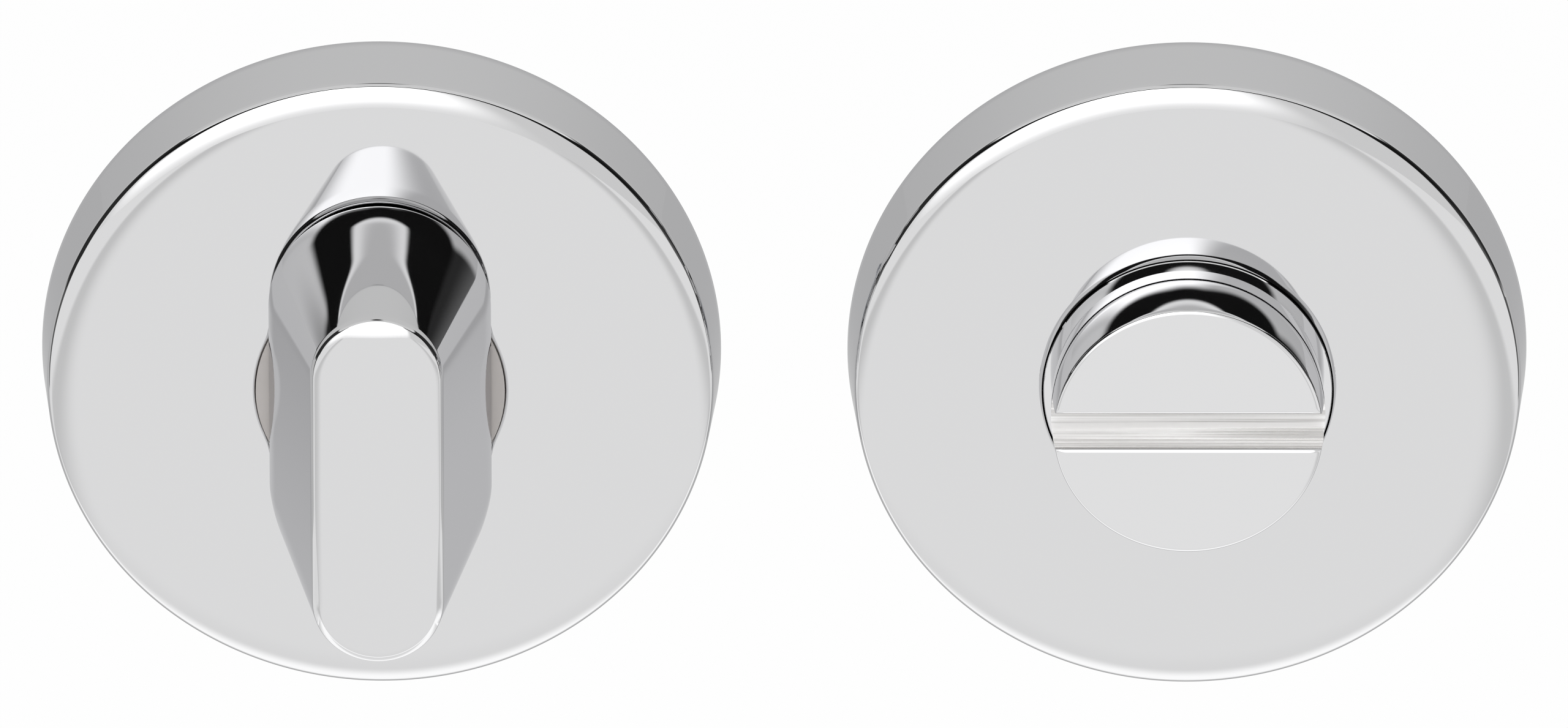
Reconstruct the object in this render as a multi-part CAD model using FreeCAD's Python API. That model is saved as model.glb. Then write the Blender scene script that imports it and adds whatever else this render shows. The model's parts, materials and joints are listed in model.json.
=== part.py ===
"""Bathroom thumb turn lock: a turn half and a release half, each on a round rose.

Each half is drawn with its axis along local Z, where z = 0 is the door face and +z points out
of the door, x is to the right and y is up. place() then stands it on the door: the door face is
the XZ plane, +Z is up and the knob points to -Y.
"""
import FreeCAD
import Part
from FreeCAD import Vector

import math
import os

# Rose covers, polished and hollow
rose_back_d = 50.0
rose_front_d = 49.0
rose_height = 7.45
rose_crown_r = 340.0
rose_margin = 4.0
rose_margin_drop = 0.5
rose_wall = 1.5
rose_lead_in = 0.4
half_spacing = 59.3

# Thumb-turn knob: a stadium that tapers from its base to its front face
knob_base_length = 31.1
knob_base_width = 16.8
knob_front_length = 27.8
knob_front_width = 9.4
knob_height = 16.65
knob_lift = 0.15
knob_base_round = 0.5
knob_front_round = 0.35
knob_round_steps = 2
knob_boss_r = 7.4

# Release plug with its coin slot
plug_d = 20.0
plug_height = 6.8
plug_chamfer = 0.3
plug_flange_d = 21.2
plug_flange_thick = 1.3
coin_slot_width = 2.85
coin_slot_depth = 2.7

# Neck and bearing, the same on both halves
neck_d = 12.0
neck_end = 0.1
bush_wall = 1.15
bush_flange_d = 18.3
bush_flange_depth = 0.85
bush_proud = 0.2
hub_wall_z = 3.4

# Spindle and its cross pin
spindle_side = 5.0
spindle_corner = 0.3
spindle_reach = 44.0
spindle_tip_d = 3.8
spindle_tip_length = 1.2
socket_depth_knob = 17.1
socket_depth_plug = 10.0
pin_d = 2.0
pin_z = 5.2

# Retaining stack behind the hub
washer_thick = 0.5
washer_outer_d = 19.2
spring_thick = 0.3
spring_height = 0.9
spring_outer_d = 17.0
circlip_thick = 1.0
circlip_groove_depth = 0.25
circlip_ring_width = 1.6
circlip_gap_deg = 50.0
circlip_ear_r = 1.35
circlip_ear_hole_r = 0.7

# Moulded fixing plate
plate_web = 1.8
hub_outer_d = 25.0
hub_pocket_d = 20.4
snap_wall = 1.2
snap_half_angle = 21.0
snap_bead = 0.4
snap_bead_z = 3.6
snap_bead_half_height = 0.55
rib_thick = 1.2
rib_drop = 0.6

# Fasteners
bolt_rim_distance = 3.85
bolt_d = 4.0
bolt_shank_d = 3.5
bolt_plain_reach = 1.0
bolt_head_d = 7.0
bolt_head_height = 2.6
bolt_slot_width = 1.2
bolt_slot_depth = 1.2
bolt_reach = 25.0
bolt_boss_r = 4.6
post_d = 5.8
post_head_d = 7.2
post_head_height = 1.6
post_reach = 16.0
post_thread_bore_d = 3.3
post_floor = 2.5
wood_screw_rim_distance = 6.35
wood_screw_d = 3.5
wood_screw_shank_d = 2.6
wood_screw_plain_reach = 0.6
wood_screw_head_d = 6.8
wood_screw_length = 16.0
wood_screw_point = 4.5
wood_screw_boss_r = 4.6
wood_screw_boss_z = 3.0
cross_recess_length = 3.6
cross_recess_width = 0.9
cross_recess_depth = 1.3

# Clearances
running_gap = 0.05
flange_gap = 0.1
face_gap = 0.05
seat_gap = 0.05
socket_gap = 0.05
hole_gap = 0.2
snap_gap = 0.15

# How far a cutting tool runs past the face that it cuts
cut_over = 1.0


def crown_z(radius, depth=0.0):
    """Height of the crowned rose face, or of a surface at a depth under it, off the axis by radius."""
    return rose_height - rose_crown_r + math.sqrt((rose_crown_r - depth) ** 2 - radius ** 2)


# Sizes that follow from those above
axis_z = Vector(0, 0, 1)
centre = Vector(0, 0, 0)
neck_r = neck_d / 2
bush_bore_r = neck_r + running_gap
bush_r = bush_bore_r + bush_wall
turn_hole_r = bush_flange_d / 2 + seat_gap
release_hole_r = plug_flange_d / 2 + flange_gap
hub_top = crown_z(hub_outer_d / 2, rose_wall)
bush_seat_z = hub_top - bush_flange_depth
turn_bush_top = crown_z(turn_hole_r) + bush_proud
flange_top = crown_z(release_hole_r)
flange_bottom = flange_top - plug_flange_thick
release_bush_top = flange_bottom - face_gap
knob_base_z = turn_bush_top + knob_lift
knob_front_z = knob_base_z + knob_height
plug_front_z = flange_top + plug_height
rose_crease_r = rose_front_d / 2
rose_margin_r = rose_crease_r - rose_margin
rose_crease_z = crown_z(rose_margin_r) - rose_margin_drop
rose_bore_r = min(rose_back_d / 2, rose_crease_r) - rose_wall
rose_bore_z = rose_crease_z - rose_wall
plate_r = rose_bore_r - snap_gap
snap_top = rose_bore_z - snap_gap
rib_top = snap_top - rib_drop
bolt_boss_z = snap_top - bolt_head_height
bolt_spacing = 2 * (plate_r - bolt_rim_distance)
wood_screw_spacing = 2 * (plate_r - wood_screw_rim_distance)
washer_z = hub_wall_z - washer_thick
spring_top = washer_z - face_gap
circlip_top = spring_top - spring_height - face_gap
circlip_z = circlip_top - circlip_thick
groove_r = neck_r - circlip_groove_depth


def cylinder(radius, low, high):
    """Round bar about the axis, from low to high."""
    return Part.makeCylinder(radius, high - low, Vector(0, 0, low))


def ring(outer_r, inner_r, low, high):
    """Round tube about the axis."""
    return cylinder(outer_r, low, high).cut(cylinder(inner_r, low - cut_over, high + cut_over))


def block(length_x, length_y, low, high):
    """Rectangular bar about the axis."""
    corner = Vector(-length_x / 2, -length_y / 2, low)
    return Part.makeBox(length_x, length_y, high - low, corner)


def line(start, end):
    """Straight edge of an outline between two (radius, z) points."""
    return Part.makeLine(Vector(start[0], 0, start[1]), Vector(end[0], 0, end[1]))


def arc(start, middle, end):
    """Round edge of an outline through three (radius, z) points."""
    return Part.Arc(*[Vector(radius, 0, z) for radius, z in (start, middle, end)]).toShape()


def turned(profile, start_deg=0.0, sweep_deg=360.0):
    """Solid of revolution from a closed outline of (radius, z) points."""
    edges = [line(start, end) for start, end in zip(profile, profile[1:] + profile[:1])]
    return turned_edges(edges, start_deg, sweep_deg)


def turned_edges(edges, start_deg=0.0, sweep_deg=360.0):
    """Solid of revolution from the edges of a closed outline."""
    solid = Part.Face(Part.Wire(edges)).revolve(centre, axis_z, sweep_deg)
    if solid.Volume < 0:
        solid.reverse()
    solid.rotate(centre, axis_z, start_deg)
    return solid


def stadium(length, width, z):
    """Closed outline with straight sides along y and half-round ends."""
    radius = width / 2
    straight = length / 2 - radius
    top = Part.Arc(Vector(radius, straight, z), Vector(0, length / 2, z), Vector(-radius, straight, z))
    left = Part.LineSegment(Vector(-radius, straight, z), Vector(-radius, -straight, z))
    bottom = Part.Arc(
        Vector(-radius, -straight, z), Vector(0, -length / 2, z), Vector(radius, -straight, z)
    )
    right = Part.LineSegment(Vector(radius, -straight, z), Vector(radius, straight, z))
    return Part.Wire([curve.toShape() for curve in (top, left, bottom, right)])


def crown_arc(radius):
    """Edge of the crowned face, from a radius to the axis."""
    return arc((radius, crown_z(radius)), (radius / 2, crown_z(radius / 2)), (0, crown_z(0)))


def margin_arc(crease, margin):
    """Edge from the crease to the face's margin, where it runs smoothly into the crown."""
    crown_centre = Vector(0, 0, rose_height - rose_crown_r)
    crease_at = Vector(crease[0], 0, crease[1])
    margin_at = Vector(margin[0], 0, margin[1])
    outward = (margin_at - crown_centre).normalize()
    chord = crease_at - margin_at
    radius = -chord.dot(chord) / (2 * chord.dot(outward))
    arc_centre = margin_at - outward * radius
    halfway = ((crease_at - arc_centre).normalize() + outward).normalize()
    middle = arc_centre + halfway * radius
    return arc(crease, (middle.x, middle.z), margin)


def rose_blank():
    """Solid rose: leaning wall, clear front edge, softened margin and crowned face."""
    back = (rose_back_d / 2, 0)
    crease = (rose_crease_r, rose_crease_z)
    margin = (rose_margin_r, crown_z(rose_margin_r))
    return turned_edges([
        line((0, 0), back),
        line(back, crease),
        margin_arc(crease, margin),
        crown_arc(rose_margin_r),
        line((0, rose_height), (0, 0)),
    ])


def rose_cover(hole_r):
    """Hollow cover: straight bore, coned inside with a flat seat for the hub, hole and snap groove."""
    bore = turned([
        (0, 0),
        (rose_bore_r, 0),
        (rose_bore_r, rose_bore_z),
        (hub_outer_d / 2, hub_top),
        (0, hub_top),
    ])
    lead_in = Part.makeCone(rose_bore_r + rose_lead_in, rose_bore_r, rose_lead_in)
    hole = cylinder(hole_r, 0, rose_height + cut_over)
    groove_outer = plate_r + snap_bead + snap_gap
    groove_half = snap_bead_half_height + snap_gap
    groove = turned([
        (plate_r - cut_over, snap_bead_z - groove_half),
        (plate_r, snap_bead_z - groove_half),
        (groove_outer, snap_bead_z),
        (plate_r, snap_bead_z + groove_half),
        (plate_r - cut_over, snap_bead_z + groove_half),
    ])
    return rose_blank().cut(bore.fuse(lead_in)).cut(hole).cut(groove)


def snap_wall_segment(angle):
    """One sprung wall of the fixing plate, with the bead that clicks into the cover."""
    start = angle - snap_half_angle
    inner_r = plate_r - snap_wall
    return turned([
        (inner_r, 0),
        (plate_r, 0),
        (plate_r, snap_bead_z - snap_bead_half_height),
        (plate_r + snap_bead, snap_bead_z),
        (plate_r, snap_bead_z + snap_bead_half_height),
        (plate_r, snap_top - snap_wall / 2),
        (plate_r - snap_wall / 2, snap_top),
        (inner_r, snap_top),
    ], start, 2 * snap_half_angle)


def rib(angle):
    """Radial rib from the hub to a snap wall."""
    hub_r = hub_outer_d / 2
    inner_r = hub_r - rib_thick
    length = plate_r - snap_wall / 2 - inner_r
    bar = Part.makeBox(length, rib_thick, rib_top, Vector(inner_r, -rib_thick / 2, 0))
    bar.rotate(centre, axis_z, angle)
    return bar


def fixing_plate(fastener_hole_r, fastener_head_r):
    """Moulded inner rose: web, hub with bush seat and circlip pocket, ribs and snap walls."""
    body = cylinder(plate_r, 0, plate_web).fuse(cylinder(hub_outer_d / 2, 0, hub_top))
    for angle in (45, 135, 225, 315):
        body = body.fuse(snap_wall_segment(angle)).fuse(rib(angle))
    limit = cylinder(plate_r, 0, snap_top)
    for side in (-1, 1):
        bolt_at = Vector(side * bolt_spacing / 2, 0, 0)
        screw_at = Vector(0, side * wood_screw_spacing / 2, 0)
        bolt_boss = Part.makeCylinder(bolt_boss_r, bolt_boss_z, bolt_at)
        screw_boss = Part.makeCylinder(wood_screw_boss_r, wood_screw_boss_z, screw_at)
        body = body.fuse(bolt_boss.common(limit)).fuse(screw_boss)
    for side in (-1, 1):
        bolt_hole = cylinder(fastener_hole_r, -cut_over, hub_top)
        bolt_hole = bolt_hole.fuse(cylinder(fastener_head_r, bolt_boss_z, hub_top))
        bolt_hole.translate(Vector(side * bolt_spacing / 2, 0, 0))
        screw_hole = wood_screw_clearance()
        screw_hole.translate(Vector(0, side * wood_screw_spacing / 2, 0))
        body = body.cut(bolt_hole).cut(screw_hole)
    bush_hole = cylinder(bush_r + seat_gap, -cut_over, hub_top + cut_over)
    flange_seat = cylinder(bush_flange_d / 2 + seat_gap, bush_seat_z, hub_top + cut_over)
    pocket = cylinder(hub_pocket_d / 2, -cut_over, hub_wall_z)
    return body.cut(bush_hole).cut(flange_seat).cut(pocket).removeSplitter()


def wood_screw_clearance():
    """Countersunk hole for one wood screw."""
    hole_r = wood_screw_d / 2 + seat_gap
    head_r = wood_screw_head_d / 2 + seat_gap
    sink_z = wood_screw_boss_z - (head_r - hole_r)
    return turned([
        (0, -cut_over),
        (hole_r, -cut_over),
        (hole_r, sink_z),
        (head_r, wood_screw_boss_z),
        (head_r, wood_screw_boss_z + cut_over),
        (0, wood_screw_boss_z + cut_over),
    ])


def bush(top):
    """Flanged bearing bush between the hub and the neck."""
    flange_r = bush_flange_d / 2
    return turned([
        (bush_bore_r, hub_wall_z),
        (bush_r, hub_wall_z),
        (bush_r, bush_seat_z),
        (flange_r, bush_seat_z),
        (flange_r, top),
        (bush_bore_r, top),
    ])


def thrust_washer():
    """Flat washer between the hub and the spring washer."""
    return ring(washer_outer_d / 2, neck_r + hole_gap, washer_z, hub_wall_z)


def spring_washer():
    """Bowed spring washer that takes up the end play: a ring cut from a bent sheet."""
    outer_r = spring_outer_d / 2
    bow = spring_height - spring_thick
    bend_r = (outer_r ** 2 + bow ** 2) / (2 * bow)
    low = spring_top - spring_height
    bend_axis = Vector(-outer_r, 0, low + bow - bend_r)
    along_x = Vector(1, 0, 0)
    sheet = Part.makeCylinder(bend_r + spring_thick, spring_outer_d, bend_axis, along_x)
    sheet = sheet.cut(Part.makeCylinder(bend_r, spring_outer_d, bend_axis, along_x))
    return sheet.common(ring(outer_r, neck_r + hole_gap, low - cut_over, spring_top + cut_over))


def circlip():
    """Retaining ring with a gap and two drilled ears."""
    inner_r = groove_r + seat_gap / 2
    outer_r = inner_r + circlip_ring_width
    body = ring(outer_r, inner_r, circlip_z, circlip_top)
    gap_from = 90 - circlip_gap_deg / 2
    gap = turned([
        (0, circlip_z - cut_over),
        (outer_r + cut_over, circlip_z - cut_over),
        (outer_r + cut_over, circlip_top + cut_over),
        (0, circlip_top + cut_over),
    ], gap_from, circlip_gap_deg)
    body = body.cut(gap)
    ear_reach = inner_r + circlip_ear_r
    ear_turn = math.degrees(circlip_ear_r / ear_reach)
    for ear_angle in (gap_from - ear_turn, gap_from + circlip_gap_deg + ear_turn):
        turn = math.radians(ear_angle)
        spot = Vector(ear_reach * math.cos(turn), ear_reach * math.sin(turn), circlip_z)
        ear = Part.makeCylinder(circlip_ear_r, circlip_thick, spot)
        ear_hole = Part.makeCylinder(circlip_ear_hole_r, circlip_thick, spot)
        body = body.fuse(ear).cut(ear_hole)
    return body.cut(cylinder(inner_r, circlip_z - cut_over, circlip_top + cut_over)).removeSplitter()


def circlip_groove():
    """Groove in the neck for the circlip."""
    low = circlip_z - seat_gap / 2
    high = circlip_top + seat_gap / 2
    return ring(neck_r + cut_over, groove_r, low, high)


def spindle_socket(depth):
    """Square hole in a neck that takes the spindle."""
    side = spindle_side + 2 * socket_gap
    return block(side, side, neck_end - cut_over, depth)


def cross_hole(radius):
    """Hole across the neck for the spindle's pin."""
    start = Vector(-knob_base_width, 0, pin_z)
    return Part.makeCylinder(radius, 2 * knob_base_width, start, Vector(1, 0, 0))


def knob_section(z, inset=0.0):
    """Outline of the tapered blade at one height, drawn in by an edge rounding."""
    share = (z - knob_base_z) / knob_height
    length = knob_base_length + share * (knob_front_length - knob_base_length)
    width = knob_base_width + share * (knob_front_width - knob_base_width)
    return stadium(length - 2 * inset, width - 2 * inset, z)


def knob_blade():
    """Tapered blade with rounded edges at its base and its front."""
    angles = [math.pi / 2 * step / knob_round_steps for step in range(knob_round_steps + 1)]
    sections = []
    for angle in reversed(angles):
        level = knob_base_z + (1 - math.sin(angle)) * knob_base_round
        sections.append(knob_section(level, (1 - math.cos(angle)) * knob_base_round))
    for angle in angles:
        level = knob_front_z - (1 - math.sin(angle)) * knob_front_round
        sections.append(knob_section(level, (1 - math.cos(angle)) * knob_front_round))
    return Part.makeLoft(sections, True, True)


def turn_knob():
    """Tapered thumb-turn blade on a round boss and neck."""
    boss = cylinder(knob_boss_r, turn_bush_top + face_gap, knob_base_z + knob_base_round)
    neck = cylinder(neck_r, neck_end, knob_base_z + knob_base_round)
    body = knob_blade().fuse(boss).fuse(neck)
    body = body.cut(spindle_socket(socket_depth_knob)).cut(circlip_groove())
    return body.cut(cross_hole(pin_d / 2 + seat_gap / 2)).removeSplitter()


def turn_spindle():
    """Square bar with a turned point that reaches through the door to the release plug."""
    top = socket_depth_knob - socket_gap
    bar = block(spindle_side, spindle_side, -spindle_reach, top)
    corners = [edge for edge in bar.Edges if edge.BoundBox.ZLength > spindle_reach]
    bar = bar.makeChamfer(spindle_corner, corners)
    pointed = turned([
        (0, -spindle_reach),
        (spindle_tip_d / 2, -spindle_reach),
        (spindle_side, -spindle_reach + spindle_tip_length),
        (spindle_side, top + cut_over),
        (0, top + cut_over),
    ])
    return bar.common(pointed).cut(cross_hole(pin_d / 2 + seat_gap / 2))


def spindle_pin():
    """Cross pin that the bush keeps in place."""
    length = 2 * (neck_r - hole_gap)
    start = Vector(-length / 2, 0, pin_z)
    return Part.makeCylinder(pin_d / 2, length, start, Vector(1, 0, 0))


def release_plug():
    """Round plug with a coin slot, a flange flush with the rose, a neck and a socket."""
    plug_r = plug_d / 2
    flange_r = plug_flange_d / 2
    body = turned([
        (0, neck_end),
        (neck_r, neck_end),
        (neck_r, flange_bottom),
        (flange_r, flange_bottom),
        (flange_r, flange_top),
        (plug_r, flange_top),
        (plug_r, plug_front_z - plug_chamfer),
        (plug_r - plug_chamfer, plug_front_z),
        (0, plug_front_z),
    ])
    slot = block(
        plug_d + cut_over, coin_slot_width, plug_front_z - coin_slot_depth, plug_front_z + cut_over
    )
    return body.cut(slot).cut(spindle_socket(socket_depth_plug)).cut(circlip_groove())


def fixing_bolt():
    """Slotted through bolt, its head on the plate's boss, plain-shanked as far as the door."""
    head_top = bolt_boss_z + bolt_head_height
    head = cylinder(bolt_head_d / 2, bolt_boss_z, head_top)
    shank = cylinder(bolt_shank_d / 2, -bolt_plain_reach, bolt_boss_z)
    thread = cylinder(bolt_d / 2, -bolt_reach, -bolt_plain_reach)
    slot = block(bolt_head_d + cut_over, bolt_slot_width, head_top - bolt_slot_depth, head_top + cut_over)
    return head.cut(slot).fuse(shank).fuse(thread).removeSplitter()


def threaded_post():
    """Headed post whose bore takes a through bolt from the other side of the door."""
    head_top = bolt_boss_z + post_head_height
    head = cylinder(post_head_d / 2, bolt_boss_z, head_top)
    tube = cylinder(post_d / 2, -post_reach, head_top)
    bore = cylinder(post_thread_bore_d / 2, -post_reach - cut_over, head_top - post_floor)
    return head.fuse(tube).cut(bore).removeSplitter()


def wood_screw():
    """Countersunk wood screw with a cross recess, a plain shank and a point."""
    shank_r = wood_screw_shank_d / 2
    thread_r = wood_screw_d / 2
    head_r = wood_screw_head_d / 2
    top = wood_screw_boss_z
    tip = top - wood_screw_length
    body = turned([
        (0, top),
        (head_r, top),
        (shank_r, top - (head_r - shank_r)),
        (shank_r, -wood_screw_plain_reach),
        (thread_r, -wood_screw_plain_reach),
        (thread_r, tip + wood_screw_point),
        (0, tip),
    ])
    for length_x, length_y in (
        (cross_recess_length, cross_recess_width),
        (cross_recess_width, cross_recess_length),
    ):
        body = body.cut(block(length_x, length_y, top - cross_recess_depth, top + cut_over))
    return body


def pair(shape, along_x, along_y):
    """Two separate copies, one each side of the axis."""
    copies = []
    for side in (-1, 1):
        copy = shape.copy()
        copy.translate(Vector(side * along_x / 2, side * along_y / 2, 0))
        copies.append(copy)
    return Part.makeCompound(copies)


def place(shape, axis_x):
    """Stand a half on the door: local z becomes -Y and local y becomes +Z."""
    placed = shape.copy()
    placed.rotate(centre, Vector(1, 0, 0), 90)
    placed.translate(Vector(axis_x, 0, 0))
    return placed


def turn_half():
    """Pieces of the inside half, by node name."""
    return {
        "turn_rose_cover": rose_cover(turn_hole_r),
        "turn_fixing_plate": fixing_plate(bolt_d / 2 + hole_gap, bolt_head_d / 2 + hole_gap),
        "turn_bush": bush(turn_bush_top),
        "turn_thrust_washer": thrust_washer(),
        "turn_fixing_bolts": pair(fixing_bolt(), bolt_spacing, 0),
        "turn_wood_screws": pair(wood_screw(), 0, wood_screw_spacing),
        "turn_knob": turn_knob(),
        "turn_spindle": turn_spindle(),
        "turn_spindle_pin": spindle_pin(),
        "turn_spring_washer": spring_washer(),
        "turn_circlip": circlip(),
    }


def release_half():
    """Pieces of the outside half, by node name."""
    return {
        "release_rose_cover": rose_cover(release_hole_r),
        "release_fixing_plate": fixing_plate(post_d / 2 + hole_gap, post_head_d / 2 + hole_gap),
        "release_bush": bush(release_bush_top),
        "release_thrust_washer": thrust_washer(),
        "release_threaded_posts": pair(threaded_post(), bolt_spacing, 0),
        "release_wood_screws": pair(wood_screw(), 0, wood_screw_spacing),
        "release_plug": release_plug(),
        "release_spring_washer": spring_washer(),
        "release_circlip": circlip(),
    }


os.makedirs("parts", exist_ok=True)
for half, axis_x in ((turn_half(), 0.0), (release_half(), half_spacing)):
    for node, shape in half.items():
        solid = place(shape, axis_x)
        solid.exportStep(f"parts/{node}.step")
        volumes = ", ".join(f"{one.Volume:.1f}" for one in solid.Solids)
        print(f"{node}: solids {volumes} mm3, valid {solid.isValid()}")
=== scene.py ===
# %% [markdown]
# # A bathroom thumb turn lock
# The lock has two halves that go on either side of a door. The inside half carries a tapered thumb
# turn, the outside half a round plug with a coin slot for emergencies. Each sits on a round chrome
# rose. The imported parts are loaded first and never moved. Everything made here is measured from them.

import json
import math

import bmesh
import bpy
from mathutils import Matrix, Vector


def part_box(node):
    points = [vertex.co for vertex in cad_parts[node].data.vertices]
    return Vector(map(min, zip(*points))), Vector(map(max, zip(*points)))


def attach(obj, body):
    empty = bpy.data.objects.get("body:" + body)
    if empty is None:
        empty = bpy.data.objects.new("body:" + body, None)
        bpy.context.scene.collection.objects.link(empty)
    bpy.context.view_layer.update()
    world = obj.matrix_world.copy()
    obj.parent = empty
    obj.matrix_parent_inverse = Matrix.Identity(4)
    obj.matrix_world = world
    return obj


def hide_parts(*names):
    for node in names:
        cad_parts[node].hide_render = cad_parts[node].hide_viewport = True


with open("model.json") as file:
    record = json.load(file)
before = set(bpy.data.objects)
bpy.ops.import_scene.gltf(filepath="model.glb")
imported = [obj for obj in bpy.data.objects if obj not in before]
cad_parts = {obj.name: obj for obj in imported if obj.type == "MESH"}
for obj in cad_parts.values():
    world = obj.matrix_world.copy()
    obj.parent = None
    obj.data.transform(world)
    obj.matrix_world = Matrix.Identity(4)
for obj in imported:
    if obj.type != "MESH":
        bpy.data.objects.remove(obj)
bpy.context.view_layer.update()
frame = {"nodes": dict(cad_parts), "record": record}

# %% [markdown]
# The drawings of the pieces are easier to read in millimetres, with the door lying flat: `across` is
# to the right, `up` is up and `out` is the distance from the door. One small function turns such a
# point into Blender's metres, where the door is the XZ plane and "out" runs along -Y.

# %% From drawing to scene
MM = 0.001


def size_of(node):
    """A node's width, depth and height in millimetres."""
    low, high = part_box(node)
    return [side / MM for side in high - low]


def front_of(node):
    """How far a node stands out from the door, in millimetres."""
    return -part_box(node)[0].y / MM


def back_of(node):
    """How far out a node's back end lies, in millimetres, negative inside the door."""
    return -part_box(node)[1].y / MM


def stand_on_door(point, axis_x):
    """A drawing's (across, up, out) in millimetres as a place in the scene."""
    across, up, out = point
    return Vector(((axis_x + across) * MM, -out * MM, up * MM))


turn_axis_x = 0.0
release_low, release_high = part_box("release_rose_cover")
release_axis_x = (release_low.x + release_high.x) / 2 / MM
rose_back_r = size_of("release_rose_cover")[0] / 2
print(f"rose radius {rose_back_r:.2f} mm, halves {release_axis_x:.2f} mm apart")

# %% [markdown]
# ## Camera
# A product photographer stands well back with a long lens, so that the two halves show little
# perspective. The camera looks down on the roses at about 26 degrees. The lens follows from the
# distance and from how wide a strip of the object fills the picture.

# %% Camera
camera_elevation = math.radians(26.0)
camera_azimuth = math.radians(0.15)
camera_distance = 2.45
picture_width = 0.1155
aim = Vector((29.63 * MM, 0.0, -1.36 * MM))

camera_data = bpy.data.cameras.new("camera")
camera = bpy.data.objects.new("camera", camera_data)
bpy.context.scene.collection.objects.link(camera)
towards_camera = Vector((
    math.sin(camera_azimuth) * math.cos(camera_elevation),
    -math.cos(camera_azimuth) * math.cos(camera_elevation),
    math.sin(camera_elevation),
))
camera.location = aim + towards_camera * camera_distance
camera.rotation_euler = (-towards_camera).to_track_quat("-Z", "Y").to_euler()
camera_data.sensor_width = 36.0
camera_data.lens = camera_data.sensor_width * camera_distance / picture_width
camera_data.clip_start = 0.1
camera_data.clip_end = 20.0
bpy.context.scene.camera = camera
bpy.context.scene.view_settings.view_transform = "Standard"
print(f"lens {camera_data.lens:.0f} mm")

# %% [markdown]
# ## Studio
# Polished chrome has no colour of its own: it shows the room. So the room is drawn with care. It is
# a white table with a pale tent over it, a grey card behind, a bright strip of window in front, dark
# flags at the sides and a dark gap where the photographer stands. Each is a soft-edged panel painted
# on the world by its compass direction and its height above the horizon. Lamps and cards in the scene
# could do the same, but they would show up in other views.
#
# The halves show these panels twice: once directly and once by way of the rose, which folds what is
# behind a piece to the front. That is where the black crescents on the knob and the plug come from.
#
# Node trees can be wired by hand in the Shader Editor. In a script, a few small helpers keep them
# readable. The first wires or sets one socket. The others each add one node and give back its result.

# %% Node helpers


def link_value(tree, value, socket):
    """Wire a socket to a socket, or set a plain number or colour on it."""
    if isinstance(value, bpy.types.NodeSocket):
        tree.links.new(value, socket)
    else:
        socket.default_value = value


def math_node(tree, operation, *values):
    """One sum on numbers or sockets, as a new socket."""
    node = tree.nodes.new("ShaderNodeMath")
    node.operation = operation
    for index, value in enumerate(values):
        link_value(tree, value, node.inputs[index])
    return node.outputs[0]


def ramp_between(tree, value, start, end, low=0.0, high=1.0):
    """A smooth step from low to high while value goes from start to end."""
    node = tree.nodes.new("ShaderNodeMapRange")
    node.interpolation_type = "SMOOTHSTEP"
    names = ("Value", "From Min", "From Max", "To Min", "To Max")
    for name, number in zip(names, (value, start, end, low, high)):
        link_value(tree, number, node.inputs[name])
    return node.outputs["Result"]


def mix_numbers(tree, share, first, second):
    """First where share is 0, second where it is 1."""
    node = tree.nodes.new("ShaderNodeMix")
    node.data_type = "FLOAT"
    link_value(tree, share, node.inputs["Factor"])
    link_value(tree, first, node.inputs["A"])
    link_value(tree, second, node.inputs["B"])
    return node.outputs["Result"]


print("helpers for sums, ramps and mixes are ready")

# %% [markdown]
# A direction in the world is turned into two angles: its height over the horizon and its compass
# direction, counted from the camera's side. A band is 1 between two angles, and a panel is where two
# bands cross. A gradient texture could paint one panel, but angles make it easy to place many.

# %% World directions
world = bpy.data.worlds.new("studio")
bpy.context.scene.world = world
world.use_nodes = True
sky = world.node_tree
sky.nodes.clear()
direction = sky.nodes.new("ShaderNodeTexCoord").outputs["Generated"]
axes = sky.nodes.new("ShaderNodeSeparateXYZ")
sky.links.new(direction, axes.inputs[0])
degree = math.pi / 180
sky_height = math_node(sky, "ARCSINE", axes.outputs["Z"])
towards_front = math_node(sky, "MULTIPLY", axes.outputs["Y"], -1.0)
sky_compass = math_node(sky, "ARCTAN2", axes.outputs["X"], towards_front)


def band(value, low, high, softness):
    """1 between two angles in degrees, falling off softly outside them."""
    rise = ramp_between(sky, value, (low - softness) * degree, (low + softness) * degree)
    fall = ramp_between(sky, value, (high - softness) * degree, (high + softness) * degree, 1.0, 0.0)
    return math_node(sky, "MULTIPLY", rise, fall)


def panel(behind, strength, compass, height, softness):
    """Paint a soft-edged panel over what is behind it. Compass 0 is the camera's side, 90 is right."""
    share = math_node(
        sky, "MULTIPLY",
        band(sky_compass, compass[0], compass[1], softness),
        band(sky_height, height[0], height[1], softness),
    )
    return mix_numbers(sky, share, behind, strength)


print("world nodes for directions:", len(sky.nodes))

# %% [markdown]
# The card stands behind the lock and the tent hangs over its front. The panels follow in a painter's
# order, so that a later one covers those before it: white walls, the window, then the dark flags.

# %% Card, tent and panels
below_table = -40
panel_edge = 3.0
window_edge = 6.0
card_tones = (0.64, 0.72)
tent_tones = (1.3, 0.82)
window_tones = (1.05, 2.1)
right_flag_tones = (0.22, 0.04)
front_white = 0.82
left_white = 1.0
flag_tone = 0.03
card = ramp_between(sky, sky_height, 0.0, 40 * degree, *card_tones)
tent = ramp_between(sky, sky_height, 40 * degree, 43.5 * degree, *tent_tones)
light = mix_numbers(sky, band(sky_compass, -95, 95, 8), card, tent)
light = panel(light, front_white, (-95, 95), (below_table, 32), panel_edge)
light = panel(light, left_white, (-100, -33), (below_table, 15), panel_edge)
window = ramp_between(sky, sky_height, -10 * degree, 4 * degree, *window_tones)
light = panel(light, window, (-28, 6), (below_table, 30), window_edge)
light = panel(light, flag_tone, (-90, -44), (below_table, 20), panel_edge)
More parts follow.
